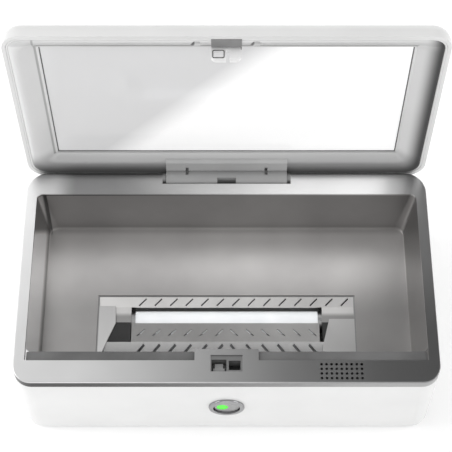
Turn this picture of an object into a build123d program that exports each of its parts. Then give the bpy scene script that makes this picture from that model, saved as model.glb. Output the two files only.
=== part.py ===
from build123d import *
import os

# A desktop ultraviolet cleaning box with its lid open.
# X runs to the right, Y from front to back, Z up from the table.
# While the pieces are drawn, Y is zero at the front of the box.

os.makedirs("parts", exist_ok=True)

# Clearances
FIT = 0.15
RUN_GAP = 0.3
BUTTON_GAP = 0.2
PIN_RUN = 0.05
SCREW_PLAY = 0.2

# Base
BASE_W = 270.0
BASE_D = 155.0
FRONT_R = 12.0
REAR_R = 15.0
WALL = 2.4
FOOT_H = 1.5
FOOT_R = 7.0
FOOT_INSET = 22.0
RIM_Z = 76.5
BAND_H = 7.0
SKIN = 2.2
BOTTOM_R = 3.0
RIM_R = 0.6
REAR_RIM_R = 2.0
CASE_TOP = RIM_Z - BAND_H
CASE_FLOOR = FOOT_H + WALL
SKIN_UNDER = RIM_Z - SKIN

# Mouth of the chamber in the base frame
SIDE_RIM = 7.0
FRONT_RIM = 15.2
BACK_RIM = 17.0
TAB_HALF = 20.3
TAB_REACH = 7.8
MOUTH_HALF = BASE_W / 2 - SIDE_RIM
MOUTH_FRONT = FRONT_RIM
MOUTH_REAR = BASE_D - BACK_RIM

# Chamber liner
SHEET = 1.0
LEDGE = 6.8
CHAMBER_DEPTH = 44.5
LINER_TAPER = 4.5
LINER_R = 4.0
LINER_FLOOR_R = 6.0
FLANGE_LAP = 3.5
FLOOR_Z = RIM_Z - CHAMBER_DEPTH
FLOOR_UNDER = FLOOR_Z - SHEET
LINER_FRONT = MOUTH_FRONT + LEDGE
LINER_FLOOR_HALF = MOUTH_HALF - LINER_TAPER
LINER_FLOOR_FRONT = LINER_FRONT + 2.0
LINER_FLOOR_REAR = MOUTH_REAR - 1.5

# Lamp
TUBE_R = 7.75
TUBE_HALF = 62.0
GLASS_T = 0.8
CAP_R = 8.0
CAP_LENGTH = 6.0
CAP_END = TUBE_HALF + CAP_LENGTH
PIN_SPACING = 5.0
LAMP_PIN_R = 1.2
LAMP_PIN_LENGTH = 6.5
LAMP_PIN_END = CAP_END + LAMP_PIN_LENGTH

# Lamp compartment, as wide as the lamp and its holders
HOLDER_SETBACK = 2.8
HOLDER_LENGTH = 13.5
HOLDER_ROOM = 6.0
SOCKET_IN = TUBE_HALF + HOLDER_SETBACK
SOCKET_OUT = CAP_END + HOLDER_LENGTH
TRAY_HALF = SOCKET_OUT + HOLDER_ROOM
TRAY_LENGTH = 53.0
TRAY_SETBACK = 7.0
TRAY_DEPTH = 20.5
TRAY_LIP_W = 3.5
TRAY_FRONT = LINER_FLOOR_FRONT + TRAY_SETBACK
TRAY_REAR = TRAY_FRONT + TRAY_LENGTH
TRAY_BOTTOM = FLOOR_UNDER - TRAY_DEPTH
TRAY_IN = TRAY_HALF - SHEET
TRAY_LIP = TRAY_FRONT + SHEET
TRAY_FLOOR = TRAY_BOTTOM + SHEET
TUBE_SETBACK = 37.5
TUBE_LIFT = 1.75
TUBE_Y = TRAY_FRONT + TUBE_SETBACK
TUBE_Z = TRAY_FLOOR + TUBE_R + TUBE_LIFT

# Lamp holders, guard and cover plates
GUARD_T = 0.8
GUARD_ROOM = 1.3
GUARD_SHIFT = -0.8
GUARD_HALF = SOCKET_IN - GUARD_ROOM
GUARD_LEFT = GUARD_SHIFT - GUARD_HALF
GUARD_RIGHT = GUARD_SHIFT + GUARD_HALF
GUARD_SHELF = 8.5
GUARD_SLOPE = 8.9
GUARD_DROP = 6.4
GUARD_CREST = 1.1
GUARD_FALL = 2.1
SLOT_COUNT = 6
REAR_SLOT_COUNT = 14
SLOT_PITCH = GUARD_HALF / SLOT_COUNT
BEND_SETBACK = 11.6
COVER_BEND = TRAY_FRONT + BEND_SETBACK
COVER_UNDER = FLOOR_Z - GUARD_T
REAR_GUARD_Y = TUBE_Y + 7.3
REAR_GUARD_Z = FLOOR_Z - GUARD_FALL
WING_FRONT = TUBE_Y - 4.5
SHELF_END = TRAY_LIP + GUARD_SHELF
CREST_Y = SHELF_END + GUARD_SLOPE
SOCKET_FRONT = CREST_Y + FIT
GUARD_PATH = [
    (TRAY_LIP, FLOOR_Z - GUARD_DROP),
    (SHELF_END, FLOOR_Z - GUARD_DROP),
    (CREST_Y, FLOOR_Z - GUARD_CREST),
    (TUBE_Y - 4.7, FLOOR_Z - GUARD_FALL),
]

# Lid, drawn standing open behind the base
LID_HALF = BASE_W / 2 - 0.6
LID_GAP = 0.6
LID_T = 14.0
LID_EDGE_SET = 0.4
LID_WALL = 2.3
LID_CROWN_R = 10.0
HINGE_SET = 3.0
HINGE_Y = BASE_D - HINGE_SET
HINGE_Z = RIM_Z - HINGE_SET
LID_Y = BASE_D + LID_GAP
LID_LOW = RIM_Z - 2 * HINGE_SET
LID_HIGH = LID_LOW + BASE_D
LID_BACK = LID_Y + LID_T
CASING_EDGE = LID_Y + LID_EDGE_SET
CASING_INNER = LID_BACK - WALL

# Lid frame and mirror
PLATE_T = 3.9
FRAME_T = 8.2
CORE_INSET = 9.0
DISH_SIDE = 8.5
DISH_LOW = 16.2
DISH_HIGH = 8.5
DISH_DEPTH = 5.6
DISH_R = 9.0
DISH_CORNER_R = 9.0
LIP = 1.6
LIP_R = 1.5
LAND_R = 3.4
MIRROR_SIDE = 21.0
MIRROR_LOW = 22.3
MIRROR_HIGH = 16.9
MIRROR_T = 1.6
MIRROR_LAP = 1.5
BACKING_LAP = 2.5
BACKING_T = 1.2
LAND_POST_R = 2.5
BACK_POST_R = 3.0
TONGUE_POST_R = 2.0
FRAME_INSET = LID_WALL + FIT
PLATE_BACK = LID_Y + PLATE_T
FRAME_BACK = LID_Y + FRAME_T
WINDOW_HALF = LID_HALF - MIRROR_SIDE
WINDOW_LOW = LID_LOW + MIRROR_LOW
WINDOW_HIGH = LID_HIGH - MIRROR_HIGH
WINDOW_H = WINDOW_HIGH - WINDOW_LOW
WINDOW_Z = (WINDOW_HIGH + WINDOW_LOW) / 2

# Hinge
KNUCKLE_R = 5.6
BLOCK_HALF = 41.0
BLOCK_H = 15.9
SPACER_ROOM = 2.5
EAR_T = 5.0
PIN_R = 1.5
BLOCK_SLOT_X = 26.8
BLOCK_LOW = LID_LOW + FRAME_INSET + FIT
BLOCK_TOP = BLOCK_LOW + BLOCK_H
BLOCK_FACE = LID_Y - 0.2
RECESS_HALF = BLOCK_HALF + SPACER_ROOM
EAR_OUT = RECESS_HALF + EAR_T
RECESS_Y = HINGE_Y - KNUCKLE_R - RUN_GAP
RECESS_LOW = HINGE_Z - KNUCKLE_R - 0.9
TROUGH_WALL = 1.5
TROUGH_Y = RECESS_Y - TROUGH_WALL
TROUGH_LOW = RECESS_LOW - TROUGH_WALL

# Latch
LATCH_HALF = 10.1
LATCH_FRONT = 7.5
LATCH_REAR = 18.9
CATCH_SLOT = (-9.6, -0.1, 8.2, 16.1)
SENSOR_SLOT = (1.4, 8.8, 9.0, 15.4)
TONGUE_HALF = 9.1
TONGUE_RIGHT = SENSOR_SLOT[1] - 0.4
TONGUE_T = 2.5
TONGUE_OUT = 8.5
TONGUE_CLOSED_Y = 13.5
DIMPLE_X = 17.8
DIMPLE_R = 3.4
DIMPLE_T = 2.8
TONGUE_LOW = HINGE_Y + HINGE_Z - TONGUE_CLOSED_Y
TONGUE_TOP = LID_HIGH - FRAME_INSET - FIT
CATCH_X = (CATCH_SLOT[0] + CATCH_SLOT[1]) / 2
CATCH_TOP = SKIN_UNDER - RUN_GAP
CATCH_H = 6.8
CATCH_FRONT = WALL + 3.9
CATCH_BACK = TONGUE_CLOSED_Y - TONGUE_T - 0.4
CATCH_TIP = TONGUE_CLOSED_Y + 0.7
CATCH_HALF = 3.6
NOSE_HALF = 2.6
HOUSING_HALF = 11.5
HOUSING_BACK = 20.6
HOUSING_H = 11.3
CATCH_LOW = CATCH_TOP - CATCH_H
CATCH_SPRING_Z = CATCH_LOW + 2.6
CATCH_SPRING_BORE = 1.7
HOUSING_LOW = SKIN_UNDER - HOUSING_H
MAGNET_X = 5.1
MAGNET_R = 2.0

# Power button
BUTTON_DROP = 39.0
BEZEL_R = 11.7
BEZEL_OUT = 1.6
CAP_FRONT = -0.5
CAP_BUTTON_R = 8.5
CAP_BUTTON_T = 5.0
BARREL_R = 9.8
BARREL_END = 12.0
SHELF_T = 2.5
STEM_R = 4.0
LENS_X = -2.8
LENS_R = 3.8
BUTTON_Z = RIM_Z - BUTTON_DROP
CAP_BACK = CAP_FRONT + CAP_BUTTON_T
SHELF_Y = BARREL_END - SHELF_T
STEM_END = BARREL_END - 1.6

# Screws, board and inlet
SCREW_R = 1.45
HEAD_R = 3.0
HEAD_T = 2.4
POST_R = 4.8
POST_TOP = 60.0
POST_FLOOR = 6.0
POST_SIDE = 17.0
POST_SET = 8.5
FRONT_POST_X = 42.0
REAR_POST_ROOM = 17.5
BOARD_HALF = 68.0
BOARD_T = 1.6
BOARD_ROOM = 6.0
BOARD_HOLE_SIDE = 6.0
BOARD_HOLE_SET = 5.0
CONNECTOR_ROOM = 12.0
BOARD_FRONT = TRAY_REAR + BOARD_ROOM
BOARD_REAR = BASE_D - POST_SET - POST_R - BOARD_ROOM
BOARD_UNDER = CASE_FLOOR + BOARD_ROOM
BOARD_TOP = BOARD_UNDER + BOARD_T
BOARD_MID = (BOARD_FRONT + BOARD_REAR) / 2
BOARD_HOLE_X = BOARD_HALF - BOARD_HOLE_SIDE
CONNECTOR_X = BOARD_HOLE_X - CONNECTOR_ROOM
INLET_SIDE = 39.0
INLET_X = BASE_W / 2 - INLET_SIDE
INLET_Z = 18.0
INLET_R = 4.5
INLET_BORE = 2.8
INLET_DEEP = 9.5
INLET_BODY = 13.4

# Sounder holes in the base frame
SPEAKER_X = 72.5
SPEAKER_Y = 7.7
SPEAKER_PITCH = 3.17
SPEAKER_R = 0.85

# Shift that puts the origin under the middle of the box around the open object
Y_MID = (LID_BACK - BEZEL_OUT) / 2

CORNER_X = BASE_W / 2 - POST_SIDE
REAR_POST_X = EAR_OUT + REAR_POST_ROOM
FOOT_X = BASE_W / 2 - FOOT_INSET
FRAME_POSTS = [(x, POST_SET) for x in (-CORNER_X, -FRONT_POST_X, FRONT_POST_X, CORNER_X)]
FRAME_POSTS += [(x, BASE_D - POST_SET) for x in (-CORNER_X, -REAR_POST_X, REAR_POST_X, CORNER_X)]
FEET = [(x, y) for x in (-FOOT_X, FOOT_X) for y in (FOOT_INSET, BASE_D - FOOT_INSET)]
BOARD_POSTS = [
    (x, y)
    for x in (-BOARD_HOLE_X, BOARD_HOLE_X)
    for y in (BOARD_FRONT + BOARD_HOLE_SET, BOARD_REAR - BOARD_HOLE_SET)
]


def box(x0, x1, y0, y1, z0, z1, mode=Mode.ADD):
    with Locations(((x0 + x1) / 2, (y0 + y1) / 2, (z0 + z1) / 2)):
        Box(x1 - x0, y1 - y0, z1 - z0, mode=mode)


def post(x, y, z0, z1, radius, mode=Mode.ADD):
    with Locations((x, y, (z0 + z1) / 2)):
        Cylinder(radius, z1 - z0, mode=mode)


def rod_y(x, z, y0, y1, radius, mode=Mode.ADD):
    with Locations(Location((x, (y0 + y1) / 2, z), (90, 0, 0))):
        Cylinder(radius, y1 - y0, mode=mode)


def rod_x(y, z, x0, x1, radius, mode=Mode.ADD):
    with Locations(Location(((x0 + x1) / 2, y, z), (0, 90, 0))):
        Cylinder(radius, abs(x1 - x0), mode=mode)


def plan(z, inset=0.0):
    with BuildSketch(Plane.XY.offset(z)) as outline:
        with Locations((0, BASE_D / 2)):
            Rectangle(BASE_W - 2 * inset, BASE_D - 2 * inset)
        fillet(outline.vertices().group_by(Axis.Y)[0], FRONT_R - inset)
        fillet(outline.vertices().group_by(Axis.Y)[-1], REAR_R - inset)
    return outline.sketch


def rounded_plan(z, half, y0, y1, radius):
    with BuildSketch(Plane.XY.offset(z)) as outline:
        with Locations((0, (y0 + y1) / 2)):
            RectangleRounded(2 * half, y1 - y0, radius)
    return outline.sketch


def lid_plan(y, inset=0.0):
    with BuildSketch(Plane.XZ.offset(-y)) as outline:
        with Locations((0, (LID_LOW + LID_HIGH) / 2)):
            Rectangle(2 * (LID_HALF - inset), BASE_D - 2 * inset)
        fillet(outline.vertices().group_by(Axis.Y)[0], REAR_R - min(inset, 10))
        fillet(outline.vertices().group_by(Axis.Y)[-1], FRONT_R - min(inset, 10))
    return outline.sketch


def save(node, part):
    solid = part.part.moved(Location((0, -Y_MID, 0)))
    solid.label = node
    export_step(solid, "parts/" + node + ".step")


# White lower casing
with BuildPart() as base_casing:
    extrude(plan(FOOT_H), amount=CASE_TOP - FOOT_H)
    fillet(base_casing.faces().sort_by(Axis.Z)[0].edges(), BOTTOM_R)
    extrude(plan(CASE_FLOOR, WALL), amount=CASE_TOP, mode=Mode.SUBTRACT)
    for x, y in FRAME_POSTS:
        post(x, y, CASE_FLOOR - 0.5, POST_TOP, POST_R)
        post(x, y, FOOT_H, POST_TOP - POST_FLOOR, HEAD_R + SCREW_PLAY, Mode.SUBTRACT)
        post(x, y, FOOT_H, POST_TOP, SCREW_R + SCREW_PLAY, Mode.SUBTRACT)
    for x, y in BOARD_POSTS:
        post(x, y, CASE_FLOOR - 0.5, BOARD_UNDER, 3.5)
        post(x, y, CASE_FLOOR, BOARD_UNDER, 1.2, Mode.SUBTRACT)
    for x, y in FEET:
        post(x, y, FOOT_H, FOOT_H + 1.0, FOOT_R, Mode.SUBTRACT)
    rod_y(0, BUTTON_Z, -1, WALL + 1, BARREL_R, Mode.SUBTRACT)
    rod_y(INLET_X, INLET_Z, BASE_D - WALL - 1, BASE_D + 1, INLET_R, Mode.SUBTRACT)
    box(-EAR_OUT, EAR_OUT, TROUGH_Y, BASE_D + 1, TROUGH_LOW, CASE_TOP + 1, Mode.SUBTRACT)
save("base_casing", base_casing)

# Silver upper frame of the base, with the trough that holds the hinge
with BuildPart() as base_frame:
    extrude(plan(CASE_TOP), amount=BAND_H)
    extrude(plan(CASE_TOP, WALL), amount=BAND_H - SKIN, mode=Mode.SUBTRACT)
    fillet(base_frame.faces().sort_by(Axis.Z)[-1].edges(), RIM_R)
    box(-EAR_OUT, EAR_OUT, TROUGH_Y, BASE_D - 0.5, TROUGH_LOW, RIM_Z - 1)
    box(-RECESS_HALF, RECESS_HALF, RECESS_Y, BASE_D + 1, RECESS_LOW, RIM_Z + 1, Mode.SUBTRACT)
    rod_x(HINGE_Y, HINGE_Z, -EAR_OUT, EAR_OUT, PIN_R, Mode.SUBTRACT)
    with BuildSketch(Plane.XY.offset(SKIN_UNDER)) as mouth:
        with Locations((0, (MOUTH_FRONT + MOUTH_REAR) / 2)):
            Rectangle(2 * MOUTH_HALF, MOUTH_REAR - MOUTH_FRONT)
        fillet(mouth.vertices().group_by(Axis.Y)[0], 1.0)
        fillet(mouth.vertices().group_by(Axis.Y)[-1], LINER_R)
        with Locations((0, MOUTH_FRONT)):
            Rectangle(2 * TAB_HALF, 2 * TAB_REACH, mode=Mode.SUBTRACT)
    extrude(amount=SKIN + 1, mode=Mode.SUBTRACT)
    with BuildSketch(Plane.YZ.offset(-BASE_W / 2)):
        with Locations((BASE_D, RIM_Z)):
            Rectangle(2 * REAR_RIM_R, 2 * REAR_RIM_R)
        with Locations((BASE_D - REAR_RIM_R, RIM_Z - REAR_RIM_R)):
            Circle(REAR_RIM_R, mode=Mode.SUBTRACT)
    extrude(amount=BASE_W, mode=Mode.SUBTRACT)
    for x, y in FRAME_POSTS:
        post(x, y, POST_TOP, RIM_Z - 1, 3.6)
        post(x, y, POST_TOP, POST_TOP + 9, SCREW_R, Mode.SUBTRACT)
    box(-LATCH_HALF, LATCH_HALF, LATCH_FRONT, LATCH_REAR, RIM_Z - 1.2, RIM_Z, Mode.SUBTRACT)
    for x0, x1, y0, y1 in (CATCH_SLOT, SENSOR_SLOT):
        box(x0, x1, y0, y1, SKIN_UNDER - 1, RIM_Z, Mode.SUBTRACT)
    with Locations((SPEAKER_X, SPEAKER_Y, SKIN_UNDER)):
        with GridLocations(SPEAKER_PITCH, SPEAKER_PITCH, 9, 4):
            Cylinder(SPEAKER_R, 3 * SKIN, mode=Mode.SUBTRACT)
save("base_frame", base_frame)

# Polished metal tub with a flange under the frame
with BuildPart() as chamber_liner:
    flange = (MOUTH_HALF + FLANGE_LAP, MOUTH_FRONT - 1, MOUTH_REAR + FLANGE_LAP, LINER_R)
    extrude(rounded_plan(SKIN_UNDER - SHEET, *flange), amount=SHEET)
    top_edge = (MOUTH_HALF + SHEET, LINER_FRONT - SHEET, MOUTH_REAR + SHEET, LINER_R + SHEET)
    low_edge = (
        LINER_FLOOR_HALF + SHEET,
        LINER_FLOOR_FRONT - SHEET,
        LINER_FLOOR_REAR + SHEET,
        LINER_FLOOR_R + SHEET,
    )
    loft([rounded_plan(FLOOR_UNDER, *low_edge), rounded_plan(SKIN_UNDER, *top_edge)])
    top_in = rounded_plan(SKIN_UNDER, MOUTH_HALF, LINER_FRONT, MOUTH_REAR, LINER_R)
    low_in = rounded_plan(FLOOR_Z, LINER_FLOOR_HALF, LINER_FLOOR_FRONT, LINER_FLOOR_REAR, LINER_FLOOR_R)
    loft([low_in, top_in], mode=Mode.SUBTRACT)
    notch = HOUSING_HALF + 0.5
    box(-notch, notch, 0, LINER_FRONT - SHEET, SKIN_UNDER - SHEET, SKIN_UNDER, Mode.SUBTRACT)
    box(-TRAY_HALF, TRAY_HALF, TRAY_FRONT, TRAY_REAR, FLOOR_UNDER - 1, FLOOR_Z + 1, Mode.SUBTRACT)
save("chamber_liner", chamber_liner)

# Dark seal strips on the front ledge, one each side of the latch tab
with BuildPart() as light_seal:
    for side in (-1, 1):
        ends = sorted((side * (TAB_HALF + FIT), side * (MOUTH_HALF - 1.0)))
        box(ends[0], ends[1], MOUTH_FRONT + FIT, LINER_FRONT - 0.2, SKIN_UNDER, SKIN_UNDER + 0.9)
    fillet(light_seal.edges().filter_by(Axis.Z), 1.0)
save("light_seal", light_seal)

# Reflector tray under the lamp
with BuildPart() as lamp_tray:
    with Locations((0, (TRAY_FRONT + TRAY_REAR) / 2, FLOOR_UNDER - SHEET / 2)):
        Box(2 * (TRAY_HALF + TRAY_LIP_W), TRAY_LENGTH + 2 * TRAY_LIP_W, SHEET)
    box(-TRAY_HALF, TRAY_HALF, TRAY_FRONT, TRAY_REAR, TRAY_BOTTOM, FLOOR_UNDER)
    box(-TRAY_IN, TRAY_IN, TRAY_LIP, TRAY_REAR - SHEET, TRAY_FLOOR, FLOOR_Z, Mode.SUBTRACT)
save("lamp_tray", lamp_tray)


def slanted_slot(x, y, length, width, turn):
    with Locations(Location((x, y, FLOOR_Z - 3), (0, 0, turn))):
        Box(length, width, 12, mode=Mode.SUBTRACT)


def folded_sheet(x0, x1, path):
    under = [(y, z - GUARD_T) for y, z in reversed(path)]
    with BuildSketch(Plane.YZ.offset(x0)) as section:
        with BuildLine():
            Polyline(path + under, close=True)
        make_face()
    extrude(section.sketch, amount=x1 - x0)


def end_plate(x):
    fold, crest = GUARD_PATH[1:3]
    with BuildSketch(Plane.YZ.offset(x)) as section:
        with BuildLine():
            Polyline(
                (fold[0] + 2, TRAY_FLOOR),
                (fold[0] + 2, fold[1] + 0.6),
                (crest[0], crest[1] - 0.4),
                (TUBE_Y - TUBE_R - 1.5, crest[1] - 1.1),
                (TUBE_Y - TUBE_R - 1.5, TRAY_FLOOR),
                close=True,
            )
        make_face()
    extrude(section.sketch, amount=1.2)


# Folded lamp guard with two rows of slanted slots, two end plates and a front slope as wide as the tray
with BuildPart() as lamp_guard:
    folded_sheet(GUARD_LEFT, GUARD_RIGHT, GUARD_PATH)
    folded_sheet(-TRAY_IN, TRAY_IN, GUARD_PATH[:3])
    end_plate(GUARD_LEFT)
    end_plate(GUARD_RIGHT - 1.2)
    for index in range(SLOT_COUNT):
        for side in (-1, 1):
            x = side * SLOT_PITCH * (index + 0.47)
            slanted_slot(x, CREST_Y - 4, 7.0, 1.7, -45 * side)
            slanted_slot(x, CREST_Y + 7, 7.0, 1.0, -45 * side)
save("lamp_guard", lamp_guard)

# Guard strip behind the tube, with a wing over each lamp holder
with BuildPart() as rear_guard:
    folded_sheet(-TRAY_IN, TRAY_IN, [(REAR_GUARD_Y, REAR_GUARD_Z), (TRAY_REAR - SHEET, FLOOR_Z - 1)])
    for side in (-1, 1):
        near, far = sorted((side * SOCKET_IN, side * TRAY_IN))
        box(near, far, WING_FRONT, REAR_GUARD_Y, REAR_GUARD_Z - GUARD_T, REAR_GUARD_Z)
    for index in range(REAR_SLOT_COUNT):
        x = SLOT_PITCH * (index - 5.4)
        slanted_slot(x, (REAR_GUARD_Y + TRAY_REAR - SHEET) / 2, 7.0, 1.0, 45)
save("rear_guard", rear_guard)


def cover(points):
    with BuildSketch(Plane.XY.offset(COVER_UNDER)) as shape:
        with BuildLine():
            Polyline(points, close=True)
        make_face()
    extrude(shape.sketch, amount=GUARD_T)


# Bright cover plates over the two lamp holders
with BuildPart() as lamp_cover_left:
    cover(
        [
            (-TRAY_IN, TRAY_LIP),
            (1.5 - TRAY_IN, TRAY_LIP),
            (3.3 - TRAY_IN, COVER_BEND),
            (5.8 - TRAY_IN, COVER_BEND + 6.4),
            (11.5 - TRAY_IN, TUBE_Y - 5.5),
            (11.0 - TRAY_IN, TUBE_Y + 7.3),
            (-TRAY_IN, TUBE_Y + 7.3),
        ]
    )
save("lamp_cover_left", lamp_cover_left)
with BuildPart() as lamp_cover_right:
    cover(
        [
            (GUARD_RIGHT + 0.8, TRAY_LIP),
            (TRAY_IN, TRAY_LIP),
            (TRAY_IN, TUBE_Y - 2.5),
            (GUARD_RIGHT + 6.8, TUBE_Y - 2.5),
            (GUARD_RIGHT + 1.9, COVER_BEND + 3.4),
        ]
    )
save("lamp_cover_right", lamp_cover_right)

# Lamp: glass tube, metal end caps and contact pins
with BuildPart() as uv_tube:
    rod_x(TUBE_Y, TUBE_Z, -TUBE_HALF, TUBE_HALF, TUBE_R)
    rod_x(TUBE_Y, TUBE_Z, -TUBE_HALF, TUBE_HALF, TUBE_R - GLASS_T, Mode.SUBTRACT)
save("uv_tube", uv_tube)
with BuildPart() as lamp_caps:
    for side in (-1, 1):
        rod_x(TUBE_Y, TUBE_Z, side * TUBE_HALF, side * CAP_END, CAP_R)
save("lamp_caps", lamp_caps)
with BuildPart() as lamp_pins:
    for side in (-1, 1):
        for step in (-1, 1):
            rod_x(TUBE_Y, TUBE_Z + step * PIN_SPACING / 2, side * CAP_END, side * LAMP_PIN_END, LAMP_PIN_R)
save("lamp_pins", lamp_pins)

# Black lamp holders that stand on the tray
with BuildPart() as lamp_sockets:
    for side in (-1, 1):
        near, far = sorted((side * SOCKET_IN, side * SOCKET_OUT))
        box(near, far, SOCKET_FRONT, WING_FRONT - FIT, TRAY_FLOOR, COVER_UNDER)
        box(near, far, WING_FRONT - 1, TUBE_Y + CAP_R + 1.5, TRAY_FLOOR, REAR_GUARD_Z - GUARD_T - FIT)
        rod_x(TUBE_Y, TUBE_Z, side * (SOCKET_IN - 1), side * (CAP_END + FIT), CAP_R + 0.1, Mode.SUBTRACT)
        for step in (-1, 1):
            z = TUBE_Z + step * PIN_SPACING / 2
            rod_x(TUBE_Y, z, side * CAP_END, side * (LAMP_PIN_END + 0.5), LAMP_PIN_R + 0.1, Mode.SUBTRACT)
save("lamp_sockets", lamp_sockets)

# Ballast board behind the lamp, under the chamber
with BuildPart() as control_board:
    box(-BOARD_HALF, BOARD_HALF, BOARD_FRONT, BOARD_REAR, BOARD_UNDER, BOARD_TOP)
    for x, y in BOARD_POSTS:
        post(x, y, BOARD_UNDER, BOARD_TOP, 1.5, Mode.SUBTRACT)
save("control_board", control_board)
with BuildPart() as ballast_coil:
    box(-22, -2, BOARD_MID - 10, BOARD_MID + 10, BOARD_TOP, BOARD_TOP + 3)
    box(-22, -2, BOARD_MID - 10, BOARD_MID + 10, BOARD_TOP + 13, BOARD_TOP + 15)
    post(-12, BOARD_MID, BOARD_TOP + 3, BOARD_TOP + 13, 8.5)
save("ballast_coil", ballast_coil)
with BuildPart() as board_capacitors:
    for x, step, radius, height in ((12, -7, 5, 16), (12, 7, 5, 16), (26, 0, 4, 12), (-36, 11, 3, 9)):
        post(x, BOARD_MID + step, BOARD_TOP, BOARD_TOP + height, radius)
save("board_capacitors", board_capacitors)
with BuildPart() as board_chips:
    for x, step, width, depth in ((38, -4, 14, 10), (41, 12, 6, 5), (-32, -6, 6, 5)):
        with Locations((x, BOARD_MID + step, BOARD_TOP + 0.8)):
            Box(width, depth, 1.6)
save("board_chips", board_chips)
with BuildPart() as board_connectors:
    for x in (-CONNECTOR_X, CONNECTOR_X):
        box(x - 4, x + 4, BOARD_FRONT + 2, BOARD_FRONT + 7.5, BOARD_TOP, BOARD_TOP + 7)
save("board_connectors", board_connectors)
with BuildPart() as board_screws:
    for x, y in BOARD_POSTS:
        post(x, y, CASE_FLOOR + 0.6, BOARD_TOP, 1.2)
        post(x, y, BOARD_TOP, BOARD_TOP + 1.6, 2.6)
save("board_screws", board_screws)

# Power button: bezel, nut, pressed cap, lens and switch body
with BuildPart() as button_bezel:
    rod_y(0, BUTTON_Z, -BEZEL_OUT, 0, BEZEL_R)
    fillet(button_bezel.faces().sort_by(Axis.Y)[0].edges(), 1.0)
    rod_y(0, BUTTON_Z, 0, BARREL_END, BARREL_R)
    rod_y(0, BUTTON_Z, -BEZEL_OUT, SHELF_Y, CAP_BUTTON_R + BUTTON_GAP, Mode.SUBTRACT)
    rod_y(0, BUTTON_Z, SHELF_Y, BARREL_END, STEM_R + RUN_GAP, Mode.SUBTRACT)
save("button_bezel", button_bezel)
with BuildPart() as button_nut:
    with BuildSketch(Plane.XZ.offset(-WALL)):
        with Locations((0, BUTTON_Z)):
            RegularPolygon(BARREL_R + 3.2, 6)
            Circle(BARREL_R, mode=Mode.SUBTRACT)
    extrude(amount=-3.5)
save("button_nut", button_nut)
with BuildPart() as power_button:
    rod_y(0, BUTTON_Z, CAP_FRONT, CAP_BACK, CAP_BUTTON_R)
    fillet(power_button.faces().sort_by(Axis.Y)[0].edges(), 0.8)
    rod_y(0, BUTTON_Z, CAP_BACK, STEM_END, STEM_R)
    rod_y(LENS_X, BUTTON_Z, CAP_FRONT, CAP_FRONT + 1.2, LENS_R, Mode.SUBTRACT)
save("power_button", power_button)
with BuildPart() as button_lens:
    rod_y(LENS_X, BUTTON_Z, CAP_FRONT + 0.1, CAP_FRONT + 1.2, LENS_R)
save("button_lens", button_lens)
with BuildPart() as button_switch:
    rod_y(0, BUTTON_Z, BARREL_END, BARREL_END + 4.5, BARREL_R - 1)
    for x in (-5, 0, 5):
        box(x - 1, x + 1, BARREL_END + 4.5, BARREL_END + 7.5, BUTTON_Z - 0.3, BUTTON_Z + 0.3)
save("button_switch", button_switch)


def coil(radius, wire, pitch, length):
    path = Helix(pitch, length, radius)
    with BuildSketch(Plane(path @ 0, z_dir=path % 0)) as section:
        Circle(wire)
    sweep(section.sketch, path=path, is_frenet=True)


def laid_along_y(part, x, y, z):
    return part.part.moved(Location((x, y, z), (-90, 0, 0)))


# Return springs of the button and of the catch
BUTTON_WIRE = 0.35
CATCH_WIRE = 0.25
CATCH_BORE_END = CATCH_BACK - 0.6
with BuildPart() as button_coil:
    coil((CAP_BUTTON_R + STEM_R) / 2 - 0.5, BUTTON_WIRE, 1.2, SHELF_Y - CAP_BACK - 2 * BUTTON_WIRE - 0.1)
with BuildPart() as button_spring:
    add(laid_along_y(button_coil, 0, CAP_BACK + BUTTON_WIRE + 0.05, BUTTON_Z))
save("button_spring", button_spring)
with BuildPart() as catch_coil:
    catch_coil_length = CATCH_BORE_END - WALL - 2 * CATCH_WIRE - 0.2
    coil(CATCH_SPRING_BORE - CATCH_WIRE - 0.25, CATCH_WIRE, 1.1, catch_coil_length)
with BuildPart() as catch_spring:
    add(laid_along_y(catch_coil, CATCH_X, WALL + CATCH_WIRE + 0.15, CATCH_SPRING_Z))
save("catch_spring", catch_spring)

# Sprung catch behind the latch mouth
with BuildPart() as latch_catch:
    box(CATCH_X - CATCH_HALF, CATCH_X + CATCH_HALF, CATCH_FRONT, CATCH_BACK, CATCH_LOW, CATCH_TOP)
    with BuildSketch(Plane.YZ.offset(CATCH_X - NOSE_HALF)):
        with BuildLine():
            Polyline(
                (CATCH_BACK, CATCH_TOP - 2.9),
                (CATCH_TIP, CATCH_TOP - 2.0),
                (CATCH_TIP, CATCH_TOP - 1.1),
                (CATCH_BACK, CATCH_TOP - 0.2),
                close=True,
            )
        make_face()
    extrude(amount=2 * NOSE_HALF)
    rod_y(CATCH_X, CATCH_SPRING_Z, CATCH_FRONT, CATCH_BORE_END, CATCH_SPRING_BORE, Mode.SUBTRACT)
save("latch_catch", latch_catch)

# Housing that guides the catch and holds the lid sensor
with BuildPart() as latch_housing:
    box(-HOUSING_HALF, HOUSING_HALF, WALL + FIT, HOUSING_BACK, HOUSING_LOW, SKIN_UNDER)
    side = CATCH_HALF + RUN_GAP
    channel_low = CATCH_LOW - RUN_GAP
    box(CATCH_X - side, CATCH_X + side, WALL, CATCH_BACK + 0.2, channel_low, SKIN_UNDER, Mode.SUBTRACT)
    x0, x1, y0, y1 = CATCH_SLOT
    box(x0, x1, y0, y1, channel_low, SKIN_UNDER, Mode.SUBTRACT)
    x0, x1, y0, y1 = SENSOR_SLOT
    box(x0, x1, y0, y1, HOUSING_LOW + 1.2, SKIN_UNDER, Mode.SUBTRACT)
save("latch_housing", latch_housing)
with BuildPart() as lid_sensor:
    x0, x1, y0, y1 = SENSOR_SLOT
    box(x0 + 0.6, x1 - 0.6, y0 + 0.6, y1 - 0.6, HOUSING_LOW + 1.2, HOUSING_LOW + 4.0)
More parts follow.
